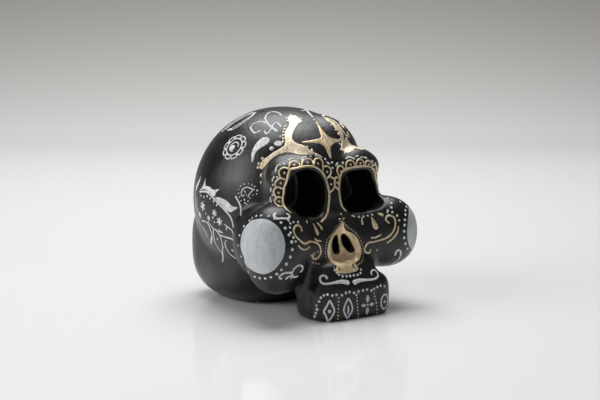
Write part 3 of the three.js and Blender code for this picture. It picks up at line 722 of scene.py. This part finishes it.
CREST_LEFT = [(0.8, 54.2), (0.8, 52), (0.1, 49.4), (0.1, 47.4), (-0.5, 45.3), (-1.2, 43.3),
              (-3, 41.9), (-4.2, 40.4), (-4.7, 38.6), (-4.1, 37.2), (-2.4, 37.2),
              (-0.4, 37.7), (1.9, 37.5), (2.6, 36.3), (4.4, 35.8), (6.6, 37.2), (5.4, 38.6),
              (3.2, 40.6), (3, 42.2), (3.2, 43.8), (2, 44), (1.2, 42.6), (0.8, 43.4),
              (1.3, 44.8), (2.4, 46.5), (2.5, 48.4), (2.8, 50.7), (3.3, 52.9), (3.9, 55.2),
              (2.4, 55.4)]
PECKS_LEFT = [(3.9, 56.8, 1.7), (2.2, 55.4, 1.4), (0.9, 53, 1.1), (0.2, 51.2, 1.1),
              (-0.2, 48.4, 1.1), (-0.6, 46.4, 1.2), (-1.6, 44, 1.1), (-3.4, 42.4, 1.1),
              (-4.9, 40, 1.1), (-4.9, 37.8, 1.1), (-1.4, 37.2, 1.2), (7, 36.4, 1.3),
              (8.4, 35.4, 1.1), (3.4, 51.8, 1.1), (3.2, 49.6, 1.1), (3.6, 44.4, 1.4),
              (3.8, 53.8, 1.2), (9.6, 34.6, 0.9)]
TWIG_LEFT = [([(4.2, 53.4), (4.2, 51.6), (3.7, 49.6), (3.1, 47.6), (3.2, 45.2)], 1.1),
             ([(7.7, 51.4), (6.9, 49.6), (5.9, 48)], 1.2), [(6.2, 46.2), (5.2, 43.4)]]

BROW = facing(0, 35)
painted("forehead_star", BROW, fills=[[STAR]], **in_gold)
painted("brow_crest_right", facing(-30, 30), dots=PECKS_RIGHT, fills=[[CREST_RIGHT]],
        raised=0.55, **in_thick_gold)
painted("brow_crest_left", facing(30, 35), TWIG_LEFT, PECKS_LEFT, [[CREST_LEFT]], width=0.8,
        raised=0.55, **in_thick_gold)

# ---------------------------------------------------------------- crown
# White pen drawing on the crown: a small cross over the star, a double-lined leaf far
# round on its right, three linked loops, a falling drop with two ovals, and a rosette.
painted("crown_cross", facing(0, 60),
        [([(6.7, 40), (5.9, 37.9), (4.6, 33.7), (3.9, 30.3)], (1, 1.2, 0.9)),
         ([(2.4, 37), (3.8, 37.4), (5.9, 38.3), (7.9, 39.2)], (0.8, 1.1, 0.8))],
        [(3.2, 28.3, 1.2)], width=0.9)
painted("crown_leaf", facing(-70, 45),
        [[(-22.2, 39.5), (-20.5, 43.6), (-16.8, 48.2), (-12.4, 50.4)],
         [(-20.4, 39.2), (-18.6, 43.2), (-15.6, 46.6), (-12.4, 50.2)],
         [(-16.4, 38.8), (-13.4, 41.4), (-11.2, 46), (-11.6, 50.6)],
         [(-18.6, 38.4), (-14.6, 38.2), (-11.6, 41.8), (-10.4, 46), (-11.4, 50)]],
        [(-22.4, 39.2, 1.3), (-16.6, 38.4, 1.4)], width=0.7)
LOOPS = [
    [(-2.2, 54), (-3.4, 56.2), (-6.1, 57.5), (-8.1, 56.1), (-8.4, 52.5), (-6.8, 48.9),
     (-4.9, 46.4), (-1.9, 43.6)],
    [(-6.4, 48.2), (-9.3, 49.9), (-11.7, 49.6), (-13.5, 47.3), (-12.2, 44.4),
     (-10.6, 43.3), (-8.9, 44.5)],
    [(-7.4, 44.2), (-6, 42.4), (-4.7, 44.7), (-4.2, 47.6), (-2.9, 49), (-0.8, 46.5)],
]
painted("crown_loop_scroll", facing(-45, 40),
        [(LOOPS[0], (0.75, 0.8, 0.8, 1.4)), LOOPS[1], LOOPS[2]], width=0.8)
painted("temple_drop", facing(-50, 30), fills=[[[
    (-8, 39.2), (-8.7, 42.4), (-8.4, 45.4), (-7.3, 48.2), (-5.4, 50.4), (-3.4, 50.6),
    (-2.3, 49.3), (-3.1, 47.2), (-5.2, 45.5), (-7, 43.4), (-7.4, 40.4)]]])
OVALS = facing(-45, 35)
painted("temple_oval_large", OVALS, fills=[[ring_of(-0.8, 43, 1.7, 14, 1.3)]])
painted("temple_oval_small", OVALS, dots=[(-3.1, 40.5, 1.9), (-0.4, 46.5, 1)])

ROSETTE = (-6.2, 44.4)
u, v = ROSETTE
petals = []
for k in range(9):
    a = (k + 0.4) / 9 * math.tau
    ends = [(u + math.cos(a + side * 0.33) * 3.7, v + math.sin(a + side * 0.33) * 3.9)
            for side in (-1, 1)]
    tips = [(u + math.cos(a + side * 0.22) * 5.3, v + math.sin(a + side * 0.22) * 5.5)
            for side in (-1, 1)]
    petals.append([ends[0], tips[0], tips[1], ends[1]])
inner = ring_of(u, v, 2.1, 9)
outer = ring_of(u, v, 3.7, 12, 3.9)
painted("side_rosette", facing(-75, 30), petals + [inner[:8], outer + outer[:1]],
        fills=[[ring_of(u - 0.5, v - 0.4, 1.2, 10)]], width=0.62)

# ---------------------------------------------------------------- side of the skull
# On the right side, in white: a curled leaf set round with dots, a bent stem, and a
# large plant whose flame leaves, small flowers and hanging leaves run to the back.
painted("small_paisley", facing(-65, 15),
        [[(2.8, 41.2), (1.2, 41.7), (-0.5, 42.1), (-2.2, 41.2), (-2.7, 39.7), (-2.4, 38.2)],
         [(2, 41), (1, 39.9), (0.2, 38.2)]],
        [(-4.1, 41), (-3.3, 42.3), (-1.9, 43.2), (0, 43.5), (1.5, 43.1), (2.6, 42.6),
         (3.9, 41.2, 0.8), (3.7, 39.8), (2.3, 39.3), (1.1, 38), (0.4, 36.8), (-0.1, 35.5),
         (-2.7, 36.7), (-3.4, 38.1), (-4, 39.4), (-1.2, 40.3, 0.8), (-1.7, 38.7, 0.9),
         (-1.2, 37.2, 0.8), (-0.9, 36, 0.8), (-0.5, 39.2, 0.6)], width=0.55, size=0.62)
painted("side_stem", facing(-65, 0),
        [([(-5.4, 48.8), (-4, 47), (-2.8, 44.8), (-2.1, 41.3)], (0.7, 0.9, 0.6))])
FLAMES = [
    [(-24.4, 47.6), (-22, 50.2), (-20.4, 52.6), (-20.2, 54.6), (-21.6, 52.6), (-23.8, 50.4)],
    [(-19.8, 48.4), (-17.4, 50.2), (-16, 52.2), (-15.7, 54.4), (-15.2, 52.8), (-14.6, 51.2),
     (-11.9, 51.2), (-8.6, 50.2), (-5, 50.8), (-6.7, 49.2), (-7.6, 47.6), (-10.6, 48.4),
     (-13.8, 49.6), (-17.2, 49.4)],
    [(-7.2, 47.4), (-3.4, 47.4), (-0.2, 46.4), (2.4, 44.7), (4.9, 44.4), (3.2, 43),
     (1.4, 42.2), (-0.4, 42.7), (-3.2, 44.6), (-5.6, 46.2)],
]
SPINE = [(-19.6, 48.2), (-13.7, 48.9), (-9.9, 47.7), (-5.9, 45.7), (-3, 43.9), (-0.4, 42),
         (1.5, 39.9), (2.6, 36.2)]
PLANT_LINES = [
    (SPINE, (0.8, 0.9, 0.8)), [(-24.8, 47.4), (-24.4, 42), (-23.2, 37), (-20.6, 34.2)],
    [(-22.2, 45.6), (-22.4, 42), (-21, 39.6)],
    [(-2.4, 37), (-0.6, 36), (1.4, 34.8), (3, 33.4)], [(-1.2, 36.2), (-1.8, 34.6)],
    [(2.2, 34), (1.8, 32.6)], [(-4, 33.3), (-7.5, 33.7), (-10.5, 35), (-13, 37)],
    ([(-7, 32.2), (-2.9, 31.6), (0.6, 31.1), (2.8, 29.8), (3.4, 27.2), (2.4, 23.4)],
     (0.6, 1, 0.5)),
    [(-4.4, 29.6), (-4.8, 26.6), (-3.6, 23.8), (-1.4, 22.4), (1.2, 22.4)],
    [(-13.6, 36.4), (-12.1, 33.9), (-12.2, 30.6), (-15.2, 27)],
    [(-12.2, 30.6), (-13.6, 29.6), (-15.4, 27.4)],
    [(-9.8, 34.4), (-10.6, 31.6), (-11.2, 28.6), (-10.6, 26), (-9.4, 23.6), (-10.4, 20)],
    [(-8.3, 34.4), (-6.2, 31.4), (-6.6, 27.4), (-8.6, 24.4), (-10.2, 20.2)],
    [(-18.8, 36.4), (-15.8, 36.6), (-13.6, 36.2)], [(-6.4, 34.6), (-4.2, 33.2)],
    [(-19.8, 34), (-17.4, 32.4), (-15.8, 29.8)],
]
BLOOMS = [(-16.2, 42.8, 2.1), (-7.6, 41, 1.5), (-5, 37.8, 1.8), (-19.8, 38.6, 1.5),
          (-12, 38.4, 1.2)]
bloom_lines = []
for u, v, reach in BLOOMS:
    for k in range(3):
        a = k / 3 * math.pi + 0.3
        arm = Vector((math.cos(a), math.sin(a))) * reach
        bloom_lines.append(([(u - arm.x, v - arm.y), (u, v), (u + arm.x, v + arm.y)],
                            (0.5, 1.3, 0.5)))
painted("side_plant", facing(-80, 0), PLANT_LINES + bloom_lines,
        [(-12.6, 47.2, 1), (-10.4, 46.5, 1), (-8, 45.6, 1.1), (-6, 44.4, 1.1),
         (-15.2, 46.6, 0.9), (-8.9, 39, 1.1), (-8.6, 30.2, 0.9), (-1.6, 26.2, 1.2),
         (-3.4, 30, 0.8), (-17.8, 46.8, 0.9), (-8.2, 37.2, 0.8), (-13.8, 40, 0.8)],
        [[shape] for shape in FLAMES], width=0.6, raised=0.3)

# ---------------------------------------------------------------- temple
# Three short gold strokes on the right temple part the side from the face. A small
# white sprig with a dot over it hangs on the left of the forehead.
painted("temple_strokes", facing(-50, 10),
        [[(-3.6, 54.2), (-3.5, 53.2)], ([(-3.5, 51.6), (-3.5, 50.2)], 1.1),
         [(-3.4, 48.6), (-3.4, 47.6)]], width=0.8, nodes=(), **in_gold)
painted("forehead_sprig_left", facing(35, 35),
        [([(6.2, 55.2), (7.6, 53.2), (8.4, 50.8), (8.6, 48.2)], (0.6, 1.1, 0.6))],
        [(5.2, 56.6, 0.9)])

# ---------------------------------------------------------------- nose leaf
# The nose dish is filled with gold in the shape of a heart standing on a foot. The pen
# goes again down its edges and round both slots, and fine gold dots follow outside.
# Black specks are touched in on it, and white beads and gold dots stand below and above.
NOSE = [(0.3, 39), (1.1, 37), (2.6, 35.2), (4.4, 34.2), (5.7, 33), (7.3, 30.8), (8.4, 27.8),
        (8.4, 25.5), (6.4, 23.9), (3.8, 23.2), (2.8, 22.6), (3.6, 21.4), (2.9, 20.2),
        (0.7, 19.8), (-2.2, 19.6), (-5.3, 20), (-7, 20.7), (-7.2, 21.6), (-5.8, 22.7),
        (-7, 23.2), (-7.4, 24.6), (-7.9, 26.4), (-8.1, 28.7), (-7.5, 31.1), (-6.2, 33.2),
        (-3.2, 34.8), (-1.5, 36.5), (-0.6, 38.6)]
NOSE_EDGE = [(0.2, 38.4), (0.8, 36.9), (2.4, 34.8), (5.3, 32.7), (7, 30.5), (7.9, 27.8),
             (7.8, 25.8), (6, 24.4), (4.2, 24)]
NOSE_EDGE_RIGHT = [(-0.3, 38.2), (-1.2, 36.3), (-3, 34.4), (-5.8, 32.8), (-7, 30.8),
                   (-7.5, 28.5), (-7.2, 26.2), (-6.6, 24.2), (-5.2, 23.4)]


def spread_out(ring, by):
    """An outline moved outwards from its own middle."""
    middle = sum((Vector(point) for point in ring), Vector((0, 0))) / len(ring)
    moved = [Vector(point) + (Vector(point) - middle).normalized() * by for point in ring]
    return [tuple(point) for point in moved]


painted("nose_leaf", FACE,
        [(NOSE_EDGE, (0.6, 0.9, 0.6)), (NOSE_EDGE_RIGHT, (0.6, 0.9, 0.6)),
         spread_out(NOSE_SLOTS[0] + NOSE_SLOTS[0][:1], 0.55),
         spread_out(NOSE_SLOTS[1] + NOSE_SLOTS[1][:1], 0.55)],
        dotted(spread_out(NOSE[18:] + NOSE[:11], 0.95), 46)
        + [(-5.2, 24.4, 1.2), (-3.4, 24.6, 1), (2, 25.2, 1.2), (0.6, 23.6, 1),
           (-1.2, 22.6, 0.9), (-3, 22.2, 0.9)],
        [[NOSE, *[spread_out(slot, 0.1) for slot in NOSE_SLOTS]]], width=0.62, size=0.5,
        paint=NOSE_GOLD, slot="gold_paint")
painted("nose_black_specks", FACE,
        [[(-5.8, 22.4), (-5.2, 21.6), (-5.9, 20.8)], [(1.7, 22.8), (1.2, 21.8), (2.2, 21)]],
        [(-0.1, 37.2), (0, 36), (-0.2, 34.9)], width=0.75, size=0.65, raised=0.85,
        paint=BLACK, slot="black_body", nodes=())
painted("nose_bead_row", FACE, dots=[
    (-7.5, 21.4), (-6.9, 20.4), (-6.2, 19.6), (-4.7, 18.9, 1.3), (-2.9, 18.7, 1.2),
    (-1.2, 18.6, 1.2), (0.6, 18.6, 1.2), (2.5, 18.6, 1.1), (4.1, 19.1), (4.6, 20.3)], size=1.05)
painted("nose_top_dots", FACE, dots=[(1, 41.6), (-0.8, 39.9), (1.4, 40)], size=0.9,
        nodes=(), **in_gold)

# ---------------------------------------------------------------- scrolls
# Either side of the nose a long gold scroll curls from the cheek to the lip, with a
# shorter stroke along it and white dots outside, under gold drops that hang like tears.
SCROLL_RIGHT = [(-21, 37.4), (-21.4, 39.2), (-23.4, 39.9), (-25.4, 38.6), (-25, 36.4),
                (-22.8, 34.3), (-19.9, 32.6), (-16, 32.8), (-12.6, 31.6), (-11.3, 29),
                (-12.2, 26.6), (-14.2, 25.9), (-15.1, 27.2), (-14, 28.4)]
SCROLL_LEFT = [(21.2, 36.8), (20.1, 38.3), (21.4, 39.8), (23.5, 38.8), (23.4, 35.6),
               (21.6, 32.5), (18.8, 30.6), (15.2, 29.8), (12, 29.6), (10.2, 27.8),
               (10.6, 26), (12.4, 25.6), (13.2, 27)]
painted("cheek_scroll_right", FACE,
        [(SCROLL_RIGHT, (1.1, 0.8, 0.8, 0.8, 1)),
         ([(-24, 32.6), (-22.1, 31), (-19.3, 30.3), (-16.4, 30.8)], 0.8)],
        [(-15.8, 27.4, 0.9), (-14.6, 24.5, 0.7), (-13.4, 24, 0.7), (-12.3, 23.8, 0.7),
         (-12.7, 28.6, 0.7)], **in_gold)
painted("cheek_scroll_left", FACE,
        [(SCROLL_LEFT, (0.9, 0.8, 0.8, 0.9)),
         [(24.9, 35.6), (24.1, 33), (22.3, 30.7), (20, 28.9)],
         [(13.3, 31.5), (15.6, 31.4), (17.8, 32.4)]], [(16.5, 26.2, 0.9)], **in_gold)


def tear(u, v, length, fat, lean):
    """A drop that hangs from its thin end, leaning by so many mm at its foot."""
    half = length / 2
    return [(u - lean / 2, v + half), (u + lean * 0.1 + fat * 0.42, v - half * 0.1),
            (u + lean / 2 + fat * 0.42, v - half * 0.7), (u + lean / 2, v - half),
            (u + lean / 2 - fat * 0.42, v - half * 0.6), (u - fat * 0.3, v + half * 0.2)]


painted("under_eye_drop_right", FACE, [[(-13.9, 33.9), (-12.8, 32.9), (-10.9, 32.5)]],
        fills=[[tear(-12.8, 37.1, 4.8, 1.7, 0.9)]], **in_gold)
painted("under_eye_tick_right", FACE,
        [([(-11.3, 39.4), (-10.3, 38.1), (-9.6, 36.7)], (0.8, 1.1)),
         ([(-15.7, 40.7), (-16.1, 39.5)], 0.6)], **in_gold)
painted("under_eye_drop_left", FACE, [([(18, 40.6), (19.6, 39.8)], 1)],
        fills=[[tear(15.5, 37, 5.2, 2.6, 0.7)]], **in_gold)
painted("under_eye_tick_left", FACE, [([(10.8, 39.6), (10.2, 38.2), (9.9, 36.8)], (0.6, 1.1))],
        **in_gold)
painted("scroll_dots", FACE, dots=[
    (-26.4, 40.9, 1), (-24.6, 41.2, 1), (-22.2, 40.9, 1.1), (-27, 39.5, 1.1), (-27.2, 37.6, 1.1),
    (-26.2, 35.8, 1.1), (-25.2, 34.2, 1), (21.4, 41, 0.9), (23.4, 41, 1), (25, 39.6, 1),
    (25.4, 37.7, 1)], nodes=())

# ---------------------------------------------------------------- cheeks
# White pen strokes fill the room left on the cheeks: a hooked stroke over the right
# disc, a knotted ribbon below it, and a hook like a cane on the left.
painted("cheek_hook_right", facing(-40, 20),
        [([(-1.3, 26.4), (-2, 25.6), (-1.8, 24.7), (-0.8, 24.1), (1.3, 24.4), (2.9, 24.6),
           (3.6, 25.4), (3.1, 26.3), (2.3, 26.6)], (1.4, 1.1, 0.9, 0.9, 0.9)),
         [(2.7, 24.4), (3.6, 23.6)]], width=0.9)
painted("cheek_ribbon_right", BESIDE_THE_EYE,
        [[(-7.4, 13.2), (-8.3, 13.8), (-7.9, 14.8), (-6.5, 15.5), (-4.7, 15.7),
          (-3.5, 15.4), (-3.3, 14.5), (-3.9, 13.2)],
         [(-3.5, 15.6), (-2.7, 16.9), (-1.3, 18), (-0.3, 18.2), (0.8, 17.6), (0.8, 16.5),
          (-0.2, 15.4)],
         [(-5.9, 13.1), (-5, 14), (-3.6, 14.3), (-2.3, 13.8), (-0.8, 14.1)]], width=0.9)
painted("cheek_hook_left", facing(20, 0),
        [[(10.1, 23.3), (9.9, 24.9), (10.4, 25.8), (11.6, 25.1), (12.5, 23.4), (12.8, 21.4),
          (12.6, 20), (11.8, 19.2)]], width=0.95)

# ---------------------------------------------------------------- lip and teeth
# A white moustache of two strokes curls up on the lip. White dots run along the tops of
# the teeth, gold dots down between them, and each tooth has a plain motif of its own.
painted("moustache_right", FACE, [
    ([(-2.8, 16.3), (-4.7, 16.9), (-7, 17.1), (-10.2, 16.9), (-12.7, 16.7), (-13.6, 17.1),
      (-13.7, 18.2), (-13.3, 19.3), (-12.3, 19.7), (-11.5, 19.2), (-11.4, 18.3)],
     (1.9, 1.9, 1.5, 0.9, 0.85, 0.85, 0.85, 0.85))])
painted("moustache_left", FACE, [
    ([(-0.9, 15.9), (0.4, 16.4), (3, 16.7), (7.3, 16.4), (10.5, 16.5), (12.4, 17.3),
      (12.9, 18.5), (11.9, 19.3), (10.6, 19.3), (9.4, 18.6), (9.5, 17.8)],
     (2, 1.6, 1, 0.9, 0.85, 0.85, 0.8))])
painted("tooth_dot_line", FACE, dots=[
    (-15.3, 10.2), (-14.9, 11.7), (-14, 12.6), (-12.8, 12.9), (-11, 12.4), (-9.2, 12.5),
    (-6.8, 12.1), (-5, 12.8), (-3.2, 13), (-1.1, 12.4), (0.2, 11.4), (1.1, 12.7),
    (3.3, 12.8), (5.3, 12.9), (7.5, 12.3), (8.8, 12.7), (10.6, 13.2), (12.3, 13.5),
    (14.5, 13), (-15.8, 8.5, 0.9), (-15.7, 7, 1.4), (-15.8, 5.4, 1.2), (-15.7, 3.9, 1.4),
    (-15.5, 2.5, 1.1), (-15.2, 1.2, 1.1)], size=1.1)
TOOTH_LINES = [
    [(-8.1, 11.1), (-8.2, 6), (-8.1, 1.4)],
    [(0.6, 10.2), (0.9, 6.4), (1.8, 1.2)],
    [(8.7, 11), (10.3, 6.6), (11.3, 1.4)],
]
for index, line in enumerate(TOOTH_LINES):
    beads = [(*spot, 0.95 if k % 2 else 0.75) for k, spot in enumerate(dotted(line, 8))]
    painted(f"tooth_line_{index + 1}", FACE, dots=beads, raised=0.6, **in_gold)
TEETH = [(-12, 6.3), (-3.8, 6.4), (5.6, 6.8), (14.7, 6.8)]
u, v = TEETH[0]
lozenge = [[(u, v + 4.4), (u + 2.1, v + 0.1), (u, v - 4.3), (u - 2.1, v), (u, v + 4.4)]]
painted("tooth_motif_1", FACE, [ring[k:k + 2] for ring in lozenge for k in range(4)],
        [(u, v, 1.5)], width=0.85)
u, v = TEETH[1]
painted("tooth_motif_2", FACE, [
    [(u, v - 4), (u - 2, v - 0.6), (u - 1.3, v + 2.2), (u, v + 4.2)],
    [(u, v - 4), (u + 2, v - 0.6), (u + 1.3, v + 2.2), (u, v + 4.2)],
    ([(u, v - 2.2), (u, v + 1.4)], (0.5, 1.1, 0.5))], width=0.85)
u, v = TEETH[2]
painted("tooth_motif_3", FACE, [
    ([(u, v + 0.9), (u, v + 3.9)], (0.7, 1.9, 0.9)),
    ([(u, v - 0.9), (u, v - 3.9)], (0.7, 1.9, 0.9)),
    ([(u + 0.9, v), (u + 3, v)], (0.7, 1.8, 0.9)),
    ([(u - 0.9, v), (u - 3, v)], (0.7, 1.8, 0.9))],
    [(u, v, 1)])
u, v = TEETH[3]
hoop = ring_of(u, v, 2.1, 12, 2.9)
painted("tooth_motif_4", FACE, [hoop + hoop[:2]],
        [(u, v, 1.3)], width=0.85)

# ---------------------------------------------------------------- table and light
# The skull stands on a sheet of white gloss board that curves up into a wall. Its colour
# is painted darker as it rises, from white to grey, as painted shade. A large soft light
# hangs overhead, with weaker ones to the left and in front.
SWEEP = [(-2.2, 0), (0.25, 0), (0.4, 0.008), (0.55, 0.032), (0.7, 0.075), (0.84, 0.14),
         (0.95, 0.23), (1.02, 0.36), (1.05, 0.55), (1.06, 2.4)]
GLOSS_SHEET_ROUGHNESS = 0.07

bpy.ops.mesh.primitive_plane_add(size=1)
sweep = bpy.context.object
sweep.name = "paper_sweep"
made = bmesh.new()
rows = []
for ahead, height in SWEEP:
    middle = looking * ahead + Vector((0, 0, height))
    rows.append([made.verts.new(middle + aside * reach) for reach in (-3, 3)])
for (a, b), (c, d) in zip(rows, rows[1:]):
    made.faces.new((a, b, d, c))
made.to_mesh(sweep.data)
made.free()
finish_with(sweep, "SUBSURF", levels=2, render_levels=2)
bpy.ops.object.select_all(action="DESELECT")
sweep.select_set(True)
bpy.ops.object.shade_smooth()
gloss = bpy.data.materials.new("white_gloss_sheet")
gloss.use_nodes = True
tree = gloss.node_tree
heights = node(tree, "ShaderNodeSeparateXYZ")
tree.links.new(node(tree, "ShaderNodeTexCoord").outputs["Object"], heights.inputs[0])
# Painted shade: the white sheet is coloured grey where it starts to curve up, and darker still
# higher up the wall.
low = mixed(tree, spread(tree, heights.outputs["Z"], 0.001, 0.022), (0.90, 0.90, 0.90),
            (0.60, 0.60, 0.59))
painted_shade_up_the_sweep = mixed(tree, spread(tree, heights.outputs["Z"], 0.018, 0.15), low, (0.47, 0.455, 0.43))
tree.links.new(painted_shade_up_the_sweep, tree.nodes["Principled BSDF"].inputs["Base Color"])
tree.nodes["Principled BSDF"].inputs["Specular IOR Level"].default_value = 0.9
rough = spread(tree, heights.outputs["Z"], 0.0, 0.03, GLOSS_SHEET_ROUGHNESS, 0.8)
tree.links.new(rough, tree.nodes["Principled BSDF"].inputs["Roughness"])
sweep.data.materials.append(gloss)

sky = bpy.data.worlds.new("room")
sky.use_nodes = True
sky.node_tree.nodes["Background"].inputs["Color"].default_value = (0.82, 0.83, 0.85, 1)
sky.node_tree.nodes["Background"].inputs["Strength"].default_value = 0.16
bpy.context.scene.world = sky
bpy.context.scene.view_settings.view_transform = "Standard"


def softbox(name, spot, width, power):
    lamp = bpy.data.lights.new(name, "AREA")
    lamp.size = width
    lamp.energy = power
    holder = bpy.data.objects.new(name, lamp)
    bpy.context.scene.collection.objects.link(holder)
    holder.location = spot
    turn = Vector((0, 0, 0.04)) - holder.location
    holder.rotation_euler = turn.to_track_quat("-Z", "Y").to_euler()


LIGHTS = [
    # name, place, width (m), power (W)
    ("overhead", (0.12, 0.2, 0.7), 0.6, 6.5),
    ("window_left", (-0.85, 0.25, 0.5), 0.6, 4.9),
    ("fill_front", (-0.3, -0.9, 0.6), 0.5, 0.35),
]
for light in LIGHTS:
    softbox(*light)
